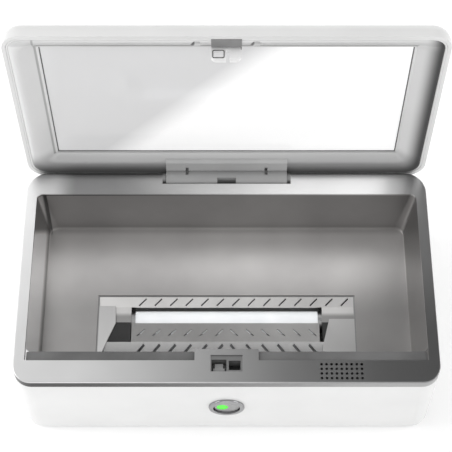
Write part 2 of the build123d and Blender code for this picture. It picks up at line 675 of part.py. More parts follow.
save("lid_sensor", lid_sensor)

# Sounder under the speaker holes
with BuildPart() as sounder:
    with Locations((SPEAKER_X, SPEAKER_Y, SKIN_UNDER - 2.5)):
        Box(9 * SPEAKER_PITCH, 3.2 * SPEAKER_PITCH, 5)
save("sounder", sounder)

# Power inlet in the back wall
with BuildPart() as power_inlet:
    inlet_front = BASE_D - INLET_BODY
    box(INLET_X - 5, INLET_X + 5, inlet_front, BASE_D - WALL, INLET_Z - 5.5, INLET_Z + 5.5)
    rod_y(INLET_X, INLET_Z, BASE_D - WALL, BASE_D, INLET_R)
    rod_y(INLET_X, INLET_Z, BASE_D - INLET_DEEP, BASE_D, INLET_BORE, Mode.SUBTRACT)
save("power_inlet", power_inlet)
with BuildPart() as inlet_pin:
    rod_y(INLET_X, INLET_Z, BASE_D - INLET_DEEP, BASE_D - 1.0, 1.05)
    fillet(inlet_pin.faces().sort_by(Axis.Y)[-1].edges(), 0.4)
save("inlet_pin", inlet_pin)

# Feet and casing screws
with BuildPart() as rubber_feet:
    for x, y in FEET:
        post(x, y, 0, FOOT_H + 1.0, FOOT_R)
    fillet(rubber_feet.faces().group_by(Axis.Z)[0].edges(), 0.6)
save("rubber_feet", rubber_feet)
with BuildPart() as casing_screws:
    for x, y in FRAME_POSTS:
        head_top = POST_TOP - POST_FLOOR
        post(x, y, head_top, POST_TOP + 8, SCREW_R)
        post(x, y, head_top - HEAD_T, head_top, HEAD_R)
save("casing_screws", casing_screws)

# Hinge pin and spacers
with BuildPart() as hinge_pin:
    rod_x(HINGE_Y, HINGE_Z, -EAR_OUT, EAR_OUT, PIN_R)
save("hinge_pin", hinge_pin)
with BuildPart() as hinge_spacers:
    for side in (-1, 1):
        rod_x(HINGE_Y, HINGE_Z, side * (BLOCK_HALF + RUN_GAP), side * RECESS_HALF, 3.6)
        rod_x(HINGE_Y, HINGE_Z, side * (BLOCK_HALF + RUN_GAP), side * RECESS_HALF, PIN_R, Mode.SUBTRACT)
save("hinge_spacers", hinge_spacers)

# Knuckle block that carries the lid
with BuildPart() as hinge_block:
    box(-BLOCK_HALF, BLOCK_HALF, BLOCK_FACE, PLATE_BACK, BLOCK_LOW, BLOCK_TOP)
    chamfer(hinge_block.faces().sort_by(Axis.Y)[0].edges().sort_by(Axis.Z)[-1], 1.5)
    box(-BLOCK_HALF, BLOCK_HALF, PLATE_BACK, FRAME_BACK, BLOCK_LOW + 3, BLOCK_TOP)
    ear_top = LID_LOW + CORE_INSET - FIT
    box(-BLOCK_HALF - 5, BLOCK_HALF + 5, PLATE_BACK, PLATE_BACK + 2.1, BLOCK_LOW + 3, ear_top)
    rod_x(HINGE_Y, HINGE_Z, -BLOCK_HALF, BLOCK_HALF, KNUCKLE_R)
    rod_x(HINGE_Y, HINGE_Z, -BLOCK_HALF, BLOCK_HALF, PIN_R + PIN_RUN, Mode.SUBTRACT)
    for x in (-BLOCK_SLOT_X, BLOCK_SLOT_X):
        box(x - 1, x + 1, HINGE_Y - 0.3, BLOCK_FACE + 2.5, RIM_Z, RIM_Z + 5.8, Mode.SUBTRACT)
    box(-6.3, 6.3, RECESS_Y, HINGE_Y - PIN_R - 0.7, HINGE_Z - KNUCKLE_R, RIM_Z + 3, Mode.SUBTRACT)
save("hinge_block", hinge_block)

# Places of the supports inside the lid
LAND = BACKING_LAP + LAND_POST_R + FIT
LAND_X = WINDOW_HALF + LAND
LAND_STEP = WINDOW_H / 2 - 5
INNER_X = WINDOW_HALF * 0.62
INNER_STEP = WINDOW_H / 4
TONGUE_POST_Z = LID_HIGH - CORE_INSET + FIT + TONGUE_POST_R
LAND_POSTS = [(x, WINDOW_Z + step) for x in (-LAND_X, LAND_X) for step in (-LAND_STEP, 0, LAND_STEP)]
LAND_POSTS += [(x, z) for x in (-INNER_X, INNER_X) for z in (WINDOW_LOW - LAND, WINDOW_HIGH + LAND)]
BACK_POSTS = [(x, WINDOW_Z + step) for x in (-INNER_X, 0, INNER_X) for step in (-INNER_STEP, INNER_STEP)]

# Hollow of the lid casing
with BuildPart() as lid_hollow:
    extrude(lid_plan(CASING_EDGE, LID_WALL), amount=CASING_EDGE - CASING_INNER)
    fillet(lid_hollow.faces().sort_by(Axis.Y)[-1].edges(), LID_CROWN_R - LID_WALL)

# White lid casing with its supports for the frame and the backing
with BuildPart() as lid_casing:
    extrude(lid_plan(CASING_EDGE), amount=CASING_EDGE - LID_BACK)
    fillet(lid_casing.faces().sort_by(Axis.Y)[-1].edges(), LID_CROWN_R)
    add(lid_hollow.part, mode=Mode.SUBTRACT)
    for x, z in LAND_POSTS:
        rod_y(x, z, FRAME_BACK, CASING_INNER + 0.5, LAND_POST_R)
    for x, z in BACK_POSTS:
        rod_y(x, z, FRAME_BACK + BACKING_T, CASING_INNER + 0.5, BACK_POST_R)
    for x in (-BLOCK_SLOT_X, BLOCK_SLOT_X):
        rod_y(x, BLOCK_LOW + 7, FRAME_BACK, CASING_INNER + 0.5, BACK_POST_R)
    rod_y(0, TONGUE_POST_Z, PLATE_BACK, CASING_INNER + 0.5, TONGUE_POST_R)
    notch = BLOCK_HALF + 0.4
    box(-notch, notch, CASING_EDGE, HINGE_Y + KNUCKLE_R + 0.5, LID_LOW - 1, BLOCK_LOW, Mode.SUBTRACT)
save("lid_casing", lid_casing)

# Silver lid frame that dishes in to the mirror
with BuildPart() as lid_frame:
    extrude(lid_plan(LID_Y, FRAME_INSET), amount=-PLATE_T)
    extrude(lid_plan(PLATE_BACK, CORE_INSET), amount=PLATE_T - FRAME_T)
    with BuildSketch(Plane.XZ.offset(-LID_Y)) as dish_top:
        with Locations((0, (LID_LOW + DISH_LOW + LID_HIGH - DISH_HIGH) / 2)):
            RectangleRounded(2 * (LID_HALF - DISH_SIDE), BASE_D - DISH_LOW - DISH_HIGH, DISH_CORNER_R)
    with BuildSketch(Plane.XZ.offset(-LID_Y - DISH_DEPTH)) as dish_low:
        with Locations((0, WINDOW_Z)):
            RectangleRounded(2 * (WINDOW_HALF + LIP), WINDOW_H + 2 * LIP, 3)
    loft([dish_top.sketch, dish_low.sketch], ruled=True, mode=Mode.SUBTRACT)
    fillet(lid_frame.faces().sort_by(Axis.Y)[0].inner_wires().edges(), DISH_R)
    fillet(lid_frame.faces().sort_by(Axis.Y)[0].outer_wire().edges(), LAND_R)
    lip_y = LID_Y + DISH_DEPTH
    lip_face = lid_frame.faces().filter_by_position(Axis.Y, lip_y - 0.1, lip_y + 0.1)
    fillet(lip_face[0].outer_wire().edges(), LIP_R)
    with Locations((0, LID_Y + DISH_DEPTH, WINDOW_Z)):
        Box(2 * WINDOW_HALF, 2 * DISH_DEPTH, WINDOW_H, mode=Mode.SUBTRACT)
    lap = 2 * MIRROR_LAP
    with Locations((0, FRAME_BACK - MIRROR_T / 2, WINDOW_Z)):
        Box(2 * WINDOW_HALF + lap, MIRROR_T, WINDOW_H + lap, mode=Mode.SUBTRACT)
    box(-BLOCK_HALF, BLOCK_HALF, LID_Y - 1, PLATE_BACK, LID_LOW, BLOCK_TOP, Mode.SUBTRACT)
    box(-BLOCK_HALF, BLOCK_HALF, PLATE_BACK - 1, FRAME_BACK, LID_LOW, BLOCK_TOP, Mode.SUBTRACT)
    for x in (-DIMPLE_X, DIMPLE_X):
        with Locations(Location((x, LID_Y + DIMPLE_T / 2, LID_HIGH - DISH_HIGH + 1), (90, 0, 0))):
            Cone(DIMPLE_R / 3, DIMPLE_R, DIMPLE_T, mode=Mode.SUBTRACT)
    box(-TONGUE_HALF, TONGUE_HALF, LID_Y - 1, PLATE_BACK, TONGUE_LOW, LID_HIGH, Mode.SUBTRACT)
save("lid_frame", lid_frame)

# Mirror plate and its backing board
with BuildPart() as lid_mirror:
    with Locations((0, FRAME_BACK - MIRROR_T / 2, WINDOW_Z)):
        overlap = 2 * MIRROR_LAP - FIT
        Box(2 * WINDOW_HALF + overlap, MIRROR_T, WINDOW_H + overlap)
save("lid_mirror", lid_mirror)
with BuildPart() as mirror_backing:
    with Locations((0, FRAME_BACK + BACKING_T / 2, WINDOW_Z)):
        Box(2 * (WINDOW_HALF + BACKING_LAP), BACKING_T, WINDOW_H + 2 * BACKING_LAP)
save("mirror_backing", mirror_backing)

# Latch plate and tongue on the free edge of the lid, with a magnet for the sensor
TONGUE_TIP = LID_Y - TONGUE_OUT
MAGNET_Y = TONGUE_TIP + 3.3
with BuildPart() as latch_plate:
    box(-TONGUE_HALF, TONGUE_HALF, LID_Y + 1, PLATE_BACK, TONGUE_LOW, TONGUE_TOP)
    box(-TONGUE_HALF, TONGUE_HALF, LID_Y - 0.2, LID_Y + 1, TONGUE_LOW + 4, TONGUE_TOP)
save("latch_plate", latch_plate)
with BuildPart() as latch_tongue:
    with BuildSketch(Plane.XY.offset(TONGUE_LOW)) as tongue:
        with Locations(((TONGUE_RIGHT - TONGUE_HALF) / 2, (TONGUE_TIP + LID_Y + 1) / 2)):
            Rectangle(TONGUE_HALF + TONGUE_RIGHT, TONGUE_OUT + 1)
        fillet(tongue.vertices().group_by(Axis.Y)[0], 3.0)
    extrude(amount=TONGUE_T)
    top = TONGUE_LOW + TONGUE_T
    slit_left = CATCH_SLOT[1] - RUN_GAP
    slit_right = SENSOR_SLOT[0] + 0.5
    box(slit_left, slit_right, TONGUE_TIP, LID_Y - 0.8, TONGUE_LOW, top, Mode.SUBTRACT)
    side = NOSE_HALF + 0.4
    box(CATCH_X - side, CATCH_X + side, TONGUE_TIP + 2.1, TONGUE_TIP + 6.6, TONGUE_LOW, top, Mode.SUBTRACT)
    post(MAGNET_X, MAGNET_Y, TONGUE_LOW, TONGUE_LOW + 1.6, MAGNET_R, Mode.SUBTRACT)
save("latch_tongue", latch_tongue)
with BuildPart() as sensor_magnet:
    post(MAGNET_X, MAGNET_Y, TONGUE_LOW, TONGUE_LOW + 1.6, MAGNET_R)
save("sensor_magnet", sensor_magnet)
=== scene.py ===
import math

import bmesh
import bpy
from mathutils import Matrix, Vector

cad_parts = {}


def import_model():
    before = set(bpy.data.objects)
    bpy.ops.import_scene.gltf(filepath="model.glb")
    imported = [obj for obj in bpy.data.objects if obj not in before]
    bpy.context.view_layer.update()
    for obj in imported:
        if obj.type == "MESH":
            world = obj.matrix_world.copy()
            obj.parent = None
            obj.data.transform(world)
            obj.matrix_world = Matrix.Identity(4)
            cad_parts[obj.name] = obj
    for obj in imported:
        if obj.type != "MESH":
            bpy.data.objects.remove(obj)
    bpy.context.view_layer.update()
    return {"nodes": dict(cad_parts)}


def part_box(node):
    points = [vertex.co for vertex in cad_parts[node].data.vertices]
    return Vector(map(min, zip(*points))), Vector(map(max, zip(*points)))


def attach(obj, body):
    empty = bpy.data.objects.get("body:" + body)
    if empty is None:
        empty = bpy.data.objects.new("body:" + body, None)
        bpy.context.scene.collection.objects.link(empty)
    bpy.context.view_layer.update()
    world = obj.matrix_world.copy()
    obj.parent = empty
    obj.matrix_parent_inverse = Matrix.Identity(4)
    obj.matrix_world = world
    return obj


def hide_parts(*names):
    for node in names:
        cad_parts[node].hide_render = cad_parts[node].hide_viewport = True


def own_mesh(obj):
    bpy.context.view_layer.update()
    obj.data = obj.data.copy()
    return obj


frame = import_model()
nodes = frame["nodes"]

# Camera, placed from the front rim of the box
CAMERA_BACK = 0.3494
CAMERA_UP = 0.8030
CAMERA_TILT = math.radians(29.936)
CAMERA_LENS = 110.72
CAMERA_SENSOR = 36.0
CAMERA_SHIFT = -0.0013
CAMERA_NEAR = 0.01

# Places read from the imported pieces
RIM_LOW, RIM_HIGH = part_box("base_frame")
RIM_FRONT = RIM_LOW.y
RIM_REAR = RIM_HIGH.y
RIM_TOP = RIM_HIGH.z
FLOOR_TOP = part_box("lamp_cover_left")[1].z
TUBE_LOW, TUBE_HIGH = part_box("uv_tube")
TUBE_Y = (TUBE_LOW.y + TUBE_HIGH.y) / 2
GUARD_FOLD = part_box("lamp_guard")[0].y + 0.0174
FRAME_LOW, FRAME_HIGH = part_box("lid_frame")
LID_FACE = FRAME_LOW.y
LID_FOOT = FRAME_LOW.z
LID_TOP = FRAME_HIGH.z
DIMPLE_X = 0.0178
DIMPLE_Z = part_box("lid_casing")[1].z - 0.0075
MIRROR_LOW, MIRROR_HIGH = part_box("lid_mirror")
MIRROR_TUCK = 0.001425
WINDOW_X = MIRROR_HIGH.x - MIRROR_TUCK
WINDOW_LOW = MIRROR_LOW.z + MIRROR_TUCK
WINDOW_HIGH = MIRROR_HIGH.z - MIRROR_TUCK
TONGUE_LOW, TONGUE_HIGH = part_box("latch_tongue")

# Painted reflection and shade on the base frame: start, end, and the share of its colour at each of them
RIM_FRONT_TONE = (-0.135, 0.11, 1.25, 0.48)
RIM_REAR_TONE = (-0.09, 0.105, 0.66, 1.9)
RIM_LEFT_TONE = (-0.119, -0.101, 2.4, 1.0)
RIM_RIGHT_TONE = (0.09, 0.125, 1.0, 0.72)
RIM_BAND_TONE = (-0.12, 0.14, 0.06, 0.75)
RIM_FRONT_TO_REAR = (RIM_FRONT + 0.02, RIM_REAR - 0.008, 0.0, 1.0)
RIM_BAND_TO_TOP = (RIM_TOP - 0.0016, RIM_TOP - 0.0006, 0.0, 1.0)

# Painted shade and reflection on the lid frame, in the same form: darker towards its right edge and its
# foot, a painted shadow line along the crest over the mirror and another on its left, and painted shade on
# one side of each dimple
LID_SIDE_TONE = (0.1185, 0.1298, 1.0, 0.015)
LID_FOOT_TONE = (LID_FOOT + 0.005, LID_FOOT + 0.027, 0.1, 1.0)
LID_HEAD_TONE = (LID_TOP - 0.008, LID_TOP - 0.006, 1.0, 0.8)
CREST_UPPER_TONE = (LID_TOP - 0.0075, LID_TOP - 0.0055, 0.3, 1.0)
CREST_LOWER_TONE = (LID_TOP - 0.0145, LID_TOP - 0.0125, 1.0, 0.3)
CREST_END_TONE = (WINDOW_X, WINDOW_X + 0.002, 0.0, 1.0)
LINE_OUTER_TONE = (-WINDOW_X - 0.0032, -WINDOW_X - 0.0026, 1.0, 0.6)
LINE_INNER_TONE = (-WINDOW_X - 0.002, -WINDOW_X - 0.0012, 0.6, 1.0)
LINE_FOOT_TONE = (WINDOW_LOW - 0.001, WINDOW_LOW, 1.0, 0.0)
DIMPLE_DEPTH = 0.001
DIMPLE_CLEAR_TONE = (0.0026, 0.0034, 1.0, 0.0)
DIMPLE_DARK_TONE = (0.0012, 0.0022, 0.25, 1.0)
DIMPLE_DARK_SHIFT = 0.002

# Painted light and shade on the lamp guard, the hinge block and the lid's white lip, in the same form
GUARD_SLOPE_TONE = (GUARD_FOLD - 0.0006, GUARD_FOLD + 0.0004, 3.2, 0.93)
GUARD_REAR_TONE = (TUBE_Y, TUBE_Y + 0.004, 1.0, 2.05)
HINGE_TONE = (LID_FACE - 0.0004, LID_FACE - 0.00025, 0.7, 0.97)
LIP_TONE = (LID_FOOT, LID_FOOT + 0.01, 0.3, 1.0)

# Painted light, shade and reflection in the tub, in the same form: a lighter left wall, a floor lighter
# towards the rear and darker at the rear wall, and a painted reflection of the rear wall that darkens the
# left wall beside it
TUB_SIDE_TONE = (-0.1252, -0.1236, 5.0, 0.95)
TUB_WALL_TONE = (-0.1, 0.12, 0.78, 0.82)
TUB_FLOOR_TONE = (RIM_REAR - 0.086, RIM_REAR - 0.04, 1.25, 2.3)
TUB_FLOOR_REAR_TONE = (RIM_REAR - 0.025, RIM_REAR - 0.018, 1.0, 0.65)
TUB_FLOOR_TO_WALL = (FLOOR_TOP + 0.0003, FLOOR_TOP + 0.003, 0.0, 1.0)
CORNER_SLANT = (0.0, 1.0, 0.577)
CORNER_EDGE = RIM_REAR - 0.021 + CORNER_SLANT[2] * FLOOR_TOP
CORNER_TONE = (CORNER_EDGE - 0.004, CORNER_EDGE + 0.003, 1.0, 0.22)
CORNER_SIDE_TONE = (-0.1225, -0.1215, 0.0, 1.0)

# Painted reflection across the mirror plate: grey and white on either side of a soft diagonal
MIRROR_SLANT = (0.757, 0.0, -0.6526)
MIRROR_EDGE = -0.105
MIRROR_TONE = (MIRROR_EDGE - 0.045, MIRROR_EDGE + 0.027, 0.0, 1.0)

# Thin rings on the lid, as reach out from a ring's line and lift off its face: dark rings of painted shade
# round the mirror and round the tongue's window, and the white lip
SHADOW_RING_WIDTH = 0.0006
SHADOW_RING_LIFT = 0.0004
TONGUE_WINDOW = (0.0028, 0.0022)
TONGUE_WINDOW_PLACE = (0.00425, 0.00435)
TONGUE_WINDOW_CORNER = 0.0004
TONGUE_RIM_REACH = (0.0003, 0.0008)
TONGUE_RIM_LIFT = 0.0002
LIP_INSET = 0.0011
LIP_BACK = 0.0036
LIP_CORNERS = (0.0115, 0.0085)
LIP_SECTION = [(0.0012, 0.0), (0.0012, 0.0031), (0.0004, 0.0032), (-0.0004, 0.003), (-0.0004, 0.0)]
CORNER_STEPS = 4

# Noise: the part of its range that is used, its scales, and the height of its bumps
NOISE_RANGE = (0.25, 0.75)
COLOUR_RANGE = (0.3, 0.7)
EVEN = (1.0, 1.0, 1.0)
PLASTIC_PATCHES = 35.0
PLASTIC_BUMP = 0.00008
METAL_PATCHES = 22.0
METAL_BUMP = 0.00005
COAT_ROUGHNESS = 0.12
TUB_BRUSH = (1.0, 12.0, 12.0)
GUARD_BRUSH = (1.0, 10.0, 10.0)

# Studio
LIGHT_TARGET = (0.0, 0.0, 0.1)
FLOOR_HALF = 12.0
FLOOR_WHITE = 0.9
FLOOR_ROUGHNESS = 0.9
FLOOR_GLOW = 0.15
WORLD_TURN = 0.25
WORLD_MIDDLE = 0.12
WORLD_SKIRT = (0.3, 0.55, 0.0, 1.0)


def grey(value):
    return (value, value, value)


def new_material(name):
    material = bpy.data.materials.new(name)
    material.use_nodes = True
    tree = material.node_tree
    return material, tree, tree.nodes["Principled BSDF"]


def object_place(tree):
    return tree.nodes.new("ShaderNodeTexCoord").outputs["Object"]


def object_axes(tree):
    axes = tree.nodes.new("ShaderNodeSeparateXYZ")
    tree.links.new(object_place(tree), axes.inputs["Vector"])
    return axes.outputs


def object_noise(tree, scale, detail=3.0, stretch=EVEN):
    mapping = tree.nodes.new("ShaderNodeMapping")
    mapping.inputs["Scale"].default_value = stretch
    tree.links.new(object_place(tree), mapping.inputs["Vector"])
    noise = tree.nodes.new("ShaderNodeTexNoise")
    noise.inputs["Scale"].default_value = scale
    noise.inputs["Detail"].default_value = detail
    tree.links.new(mapping.outputs["Vector"], noise.inputs["Vector"])
    return noise.outputs["Fac"]


def ranged(tree, source, start, end, low, high):
    ramp = tree.nodes.new("ShaderNodeMapRange")
    ramp.inputs["From Min"].default_value = start
    ramp.inputs["From Max"].default_value = end
    ramp.inputs["To Min"].default_value = low
    ramp.inputs["To Max"].default_value = high
    tree.links.new(source, ramp.inputs["Value"])
    return ramp


def spread(tree, source, low, high):
    return ranged(tree, source, *NOISE_RANGE, low, high).outputs["Result"]


def fade(tree, source, start, end, low, high):
    ramp = ranged(tree, source, start, end, low, high)
    ramp.interpolation_type = "SMOOTHSTEP"
    return ramp.outputs["Result"]


def tint(tree, source, dark, light):
    ramp = tree.nodes.new("ShaderNodeValToRGB")
    ramp.color_ramp.elements[0].position = COLOUR_RANGE[0]
    ramp.color_ramp.elements[0].color = (*dark, 1.0)
    ramp.color_ramp.elements[1].position = COLOUR_RANGE[1]
    ramp.color_ramp.elements[1].color = (*light, 1.0)
    tree.links.new(source, ramp.inputs["Fac"])
    return ramp.outputs["Color"]


def surface(tree, shader, colour_source, dark, light, rough_source, rough):
    tree.links.new(tint(tree, colour_source, dark, light), shader.inputs["Base Color"])
    tree.links.new(spread(tree, rough_source, *rough), shader.inputs["Roughness"])


def raise_bumps(tree, shader, source, strength, distance):
    bump = tree.nodes.new("ShaderNodeBump")
    bump.inputs["Strength"].default_value = strength
    bump.inputs["Distance"].default_value = distance
    tree.links.new(source, bump.inputs["Height"])
    tree.links.new(bump.outputs["Normal"], shader.inputs["Normal"])


def glow(shader, colour, strength):
    shader.inputs["Emission Color"].default_value = (*colour, 1.0)
    shader.inputs["Emission Strength"].default_value = strength


def folded(tree, operation, sources):
    total = sources[0]
    for source in sources[1:]:
        step = tree.nodes.new("ShaderNodeMath")
        step.operation = operation
        tree.links.new(total, step.inputs[0])
        tree.links.new(source, step.inputs[1])
        total = step.outputs["Value"]
    return total


def times(tree, *sources):
    return folded(tree, "MULTIPLY", sources)


def largest(tree, *sources):
    return folded(tree, "MAXIMUM", sources)


def size_of(tree, source):
    size = tree.nodes.new("ShaderNodeMath")
    size.operation = "ABSOLUTE"
    tree.links.new(source, size.inputs[0])
    return size.outputs["Value"]


def mixed(tree, share, first, second):
    blend = tree.nodes.new("ShaderNodeMix")
    tree.links.new(share, blend.inputs["Factor"])
    tree.links.new(first, blend.inputs["A"])
    tree.links.new(second, blend.inputs["B"])
    return blend.outputs["Result"]


def measured(tree, operation, vector):
    measure = tree.nodes.new("ShaderNodeVectorMath")
    measure.operation = operation
    measure.inputs[1].default_value = vector
    tree.links.new(object_place(tree), measure.inputs[0])
    return measure.outputs["Value"]


def shade(material, amount):
    tree = material.node_tree
    colour = tree.nodes["Principled BSDF"].inputs["Base Color"]
    scale = tree.nodes.new("ShaderNodeVectorMath")
    scale.operation = "SCALE"
    tree.links.new(colour.links[0].from_socket, scale.inputs["Vector"])
    tree.links.new(amount, scale.inputs["Scale"])
    tree.links.new(scale.outputs["Vector"], colour)


# Painted reflection and shade: along the front the rim grows darker to the right, and along the rear it
# grows lighter to the right. It is lighter at its far left, darker at its far right, and the front band is
# darker, most on the left
def paint_shading_base_frame(material):
    tree = material.node_tree
    axes = object_axes(tree)
    front = fade(tree, axes["X"], *RIM_FRONT_TONE)
    rear = times(
        tree,
        fade(tree, axes["X"], *RIM_REAR_TONE),
        fade(tree, axes["X"], *RIM_LEFT_TONE),
        fade(tree, axes["X"], *RIM_RIGHT_TONE),
    )
    top = mixed(tree, fade(tree, axes["Y"], *RIM_FRONT_TO_REAR), front, rear)
    band = fade(tree, axes["X"], *RIM_BAND_TONE)
    shade(material, mixed(tree, fade(tree, axes["Z"], *RIM_BAND_TO_TOP), band, top))


# Painted shade and reflection on the lid frame: right edge, foot, head, the two painted shadow lines and
# the dimples' shaded sides, multiplied together
def paint_shading_lid_frame(material):
    tree = material.node_tree
    axes = object_axes(tree)
    side = fade(tree, axes["X"], *LID_SIDE_TONE)
    foot = fade(tree, axes["Z"], *LID_FOOT_TONE)
    head = fade(tree, axes["Z"], *LID_HEAD_TONE)
    crest = largest(
        tree,
        fade(tree, axes["Z"], *CREST_UPPER_TONE),
        fade(tree, axes["Z"], *CREST_LOWER_TONE),
        fade(tree, size_of(tree, axes["X"]), *CREST_END_TONE),
    )
    line = largest(
        tree,
        fade(tree, axes["X"], *LINE_OUTER_TONE),
        fade(tree, axes["X"], *LINE_INNER_TONE),
        fade(tree, axes["Z"], *LINE_FOOT_TONE),
    )
    for centre_x in (-DIMPLE_X, DIMPLE_X):
        clear = measured(tree, "DISTANCE", (centre_x, LID_FACE + DIMPLE_DEPTH, DIMPLE_Z))
        crest = largest(tree, crest, fade(tree, clear, *DIMPLE_CLEAR_TONE))
        dark_x = centre_x - DIMPLE_DARK_SHIFT
        dark = measured(tree, "DISTANCE", (dark_x, LID_FACE + DIMPLE_DEPTH, DIMPLE_Z))
        line = times(tree, line, fade(tree, dark, *DIMPLE_DARK_TONE))
    shade(material, times(tree, side, foot, head, crest, line))


# Painted light: the guard's front slope and the rear guard are made lighter, the part between a little
# darker
def paint_shading_guard(material):
    tree = material.node_tree
    axes = object_axes(tree)
    slope = fade(tree, axes["Y"], *GUARD_SLOPE_TONE)
    shade(material, times(tree, slope, fade(tree, axes["Y"], *GUARD_REAR_TONE)))


# Painted light and shade in the tub: lighter left wall, floor lighter towards the rear, and the painted
# reflection darkening the left wall beside the rear wall
def paint_shading_tub(material):
    tree = material.node_tree
    axes = object_axes(tree)
    ground = times(
        tree,
        fade(tree, axes["Y"], *TUB_FLOOR_TONE),
        fade(tree, axes["Y"], *TUB_FLOOR_REAR_TONE),
    )
    wall = fade(tree, axes["X"], *TUB_WALL_TONE)
    inside = mixed(tree, fade(tree, axes["Z"], *TUB_FLOOR_TO_WALL), ground, wall)
    side = fade(tree, axes["X"], *TUB_SIDE_TONE)
    corner = largest(
        tree,
        fade(tree, measured(tree, "DOT_PRODUCT", CORNER_SLANT), *CORNER_TONE),
        fade(tree, axes["X"], *CORNER_SIDE_TONE),
    )
    shade(material, times(tree, inside, side, corner))


# Painted shade on the hinge block's knuckle, below its front face
def paint_shading_hinge(material):
    tree = material.node_tree
    shade(material, fade(tree, object_axes(tree)["Y"], *HINGE_TONE))


# Painted shade on the lid's white lip, darker towards its foot
def paint_shading_lip(material):
    tree = material.node_tree
    shade(material, fade(tree, object_axes(tree)["Z"], *LIP_TONE))


def plastic(name, dark, light, rough, grain=900.0, bump=0.15, coat=0.0):
    material, tree, shader = new_material(name)
    texture = object_noise(tree, grain, 2.0)
    surface(tree, shader, object_noise(tree, PLASTIC_PATCHES), dark, light, texture, rough)
    raise_bumps(tree, shader, texture, bump, PLASTIC_BUMP)
    shader.inputs["Coat Weight"].default_value = coat
    shader.inputs["Coat Roughness"].default_value = COAT_ROUGHNESS
    return material


def casing_plastic(name):
    return plastic(name, (0.68, 0.68, 0.677), (0.71, 0.71, 0.707), (0.3, 0.34), bump=0.01, coat=0.3)


def metal(name, dark, light, rough, stretch=EVEN, grain=700.0, bump=0.1, body=1.0):
    material, tree, shader = new_material(name)
    texture = object_noise(tree, grain, 3.0, stretch)
    surface(tree, shader, object_noise(tree, METAL_PATCHES), dark, light, texture, rough)
    raise_bumps(tree, shader, texture, bump, METAL_BUMP)
    shader.inputs["Metallic"].default_value = body
    return material


def lamp_glass():
    material, tree, shader = new_material("lamp_glass")
    haze = object_noise(tree, 60.0)
    surface(tree, shader, haze, (0.86, 0.88, 0.9), (0.95, 0.96, 0.97), haze, (0.08, 0.2))
    shader.inputs["Transmission Weight"].default_value = 0.35
    glow(shader, grey(1.0), 0.15)
    return material


def green_lens():
    material, tree, shader = new_material("green_lens")
    cells = object_noise(tree, 500.0)
    surface(tree, shader, cells, (0.02, 0.35, 0.003), (0.03, 0.5, 0.005), cells, (0.1, 0.25))
    glow(shader, (0.06, 0.8, 0.0), 0.6)
    return material


def mirror_plate():
    material, tree, shader = new_material("mirror_plate")
    # Painted reflection: grey towards the upper left and white towards the lower right of a soft diagonal
    painted_reflection = fade(tree, measured(tree, "DOT_PRODUCT", MIRROR_SLANT), *MIRROR_TONE)
    surface(tree, shader, painted_reflection, (0.54, 0.54, 0.545), grey(0.97), object_noise(tree, 8.0), (0.12, 0.16))
    shader.inputs["Coat Weight"].default_value = 0.5
    shader.inputs["Coat Roughness"].default_value = 0.02
    # Painted light: the plate glows white, though it is no lamp
    glow(shader, grey(1.0), 0.2)
    return material


def dress(material, *names):
    for name in names:
        for entry in nodes[name].material_slots:
            entry.material = material


# White casings, and a copy for the lid's white lip with painted shade towards its foot
white = casing_plastic("casing_white")
lip = casing_plastic("lip_white_painted_shade")
paint_shading_lip(lip)
dress(white, "base_casing", "lid_casing")

# Silver frames, with painted reflection and shade
silver = metal("frame_silver", grey(0.48), grey(0.52), (0.28, 0.31), grain=1500.0, bump=0.003)
paint_shading_base_frame(silver)
dress(silver, "base_frame")
lid_silver = metal("lid_silver", grey(0.72), grey(0.76), (0.38, 0.42), grain=1500.0, bump=0.005, body=0.2)
paint_shading_lid_frame(lid_silver)
dress(lid_silver, "lid_frame")

# Metal round the lamp, brushed along X in the tub and the guards, with painted light and shade on both
tub_dark = (0.29, 0.283, 0.28)
tub_light = (0.34, 0.333, 0.328)
tub = metal("tub_metal", tub_dark, tub_light, (0.3, 0.4), TUB_BRUSH, bump=0.04, body=0.85)
paint_shading_tub(tub)
dress(tub, "chamber_liner")
guard = metal("guard_metal", (0.34, 0.335, 0.33), (0.42, 0.415, 0.41), (0.3, 0.38), GUARD_BRUSH, bump=0.04)
paint_shading_guard(guard)
dress(guard, "lamp_guard", "rear_guard")
bright = metal("bright_plate", (0.56, 0.556, 0.552), (0.63, 0.626, 0.622), (0.28, 0.34), bump=0.004)
dress(bright, "lamp_cover_left", "lamp_cover_right")
dress(metal("pan_metal", grey(0.3), grey(0.36), (0.3, 0.4)), "lamp_tray")

# Small metal parts
chrome = metal("chrome", (0.3, 0.3, 0.305), (0.36, 0.36, 0.365), (0.06, 0.12))
dress(chrome, "button_bezel")
satin = metal("satin_steel", grey(0.32), grey(0.4), (0.25, 0.35))
dress(satin, "power_button", "lamp_caps", "casing_screws", "board_screws", "button_nut", "hinge_pin")
dress(satin, "button_spring", "catch_spring", "sensor_magnet")
brass = metal("brass", (0.66, 0.48, 0.2), (0.76, 0.58, 0.27), (0.2, 0.3))
dress(brass, "lamp_pins", "inlet_pin")
dress(metal("tongue_steel", grey(0.84), grey(0.9), (0.4, 0.5), body=0.3), "latch_tongue")

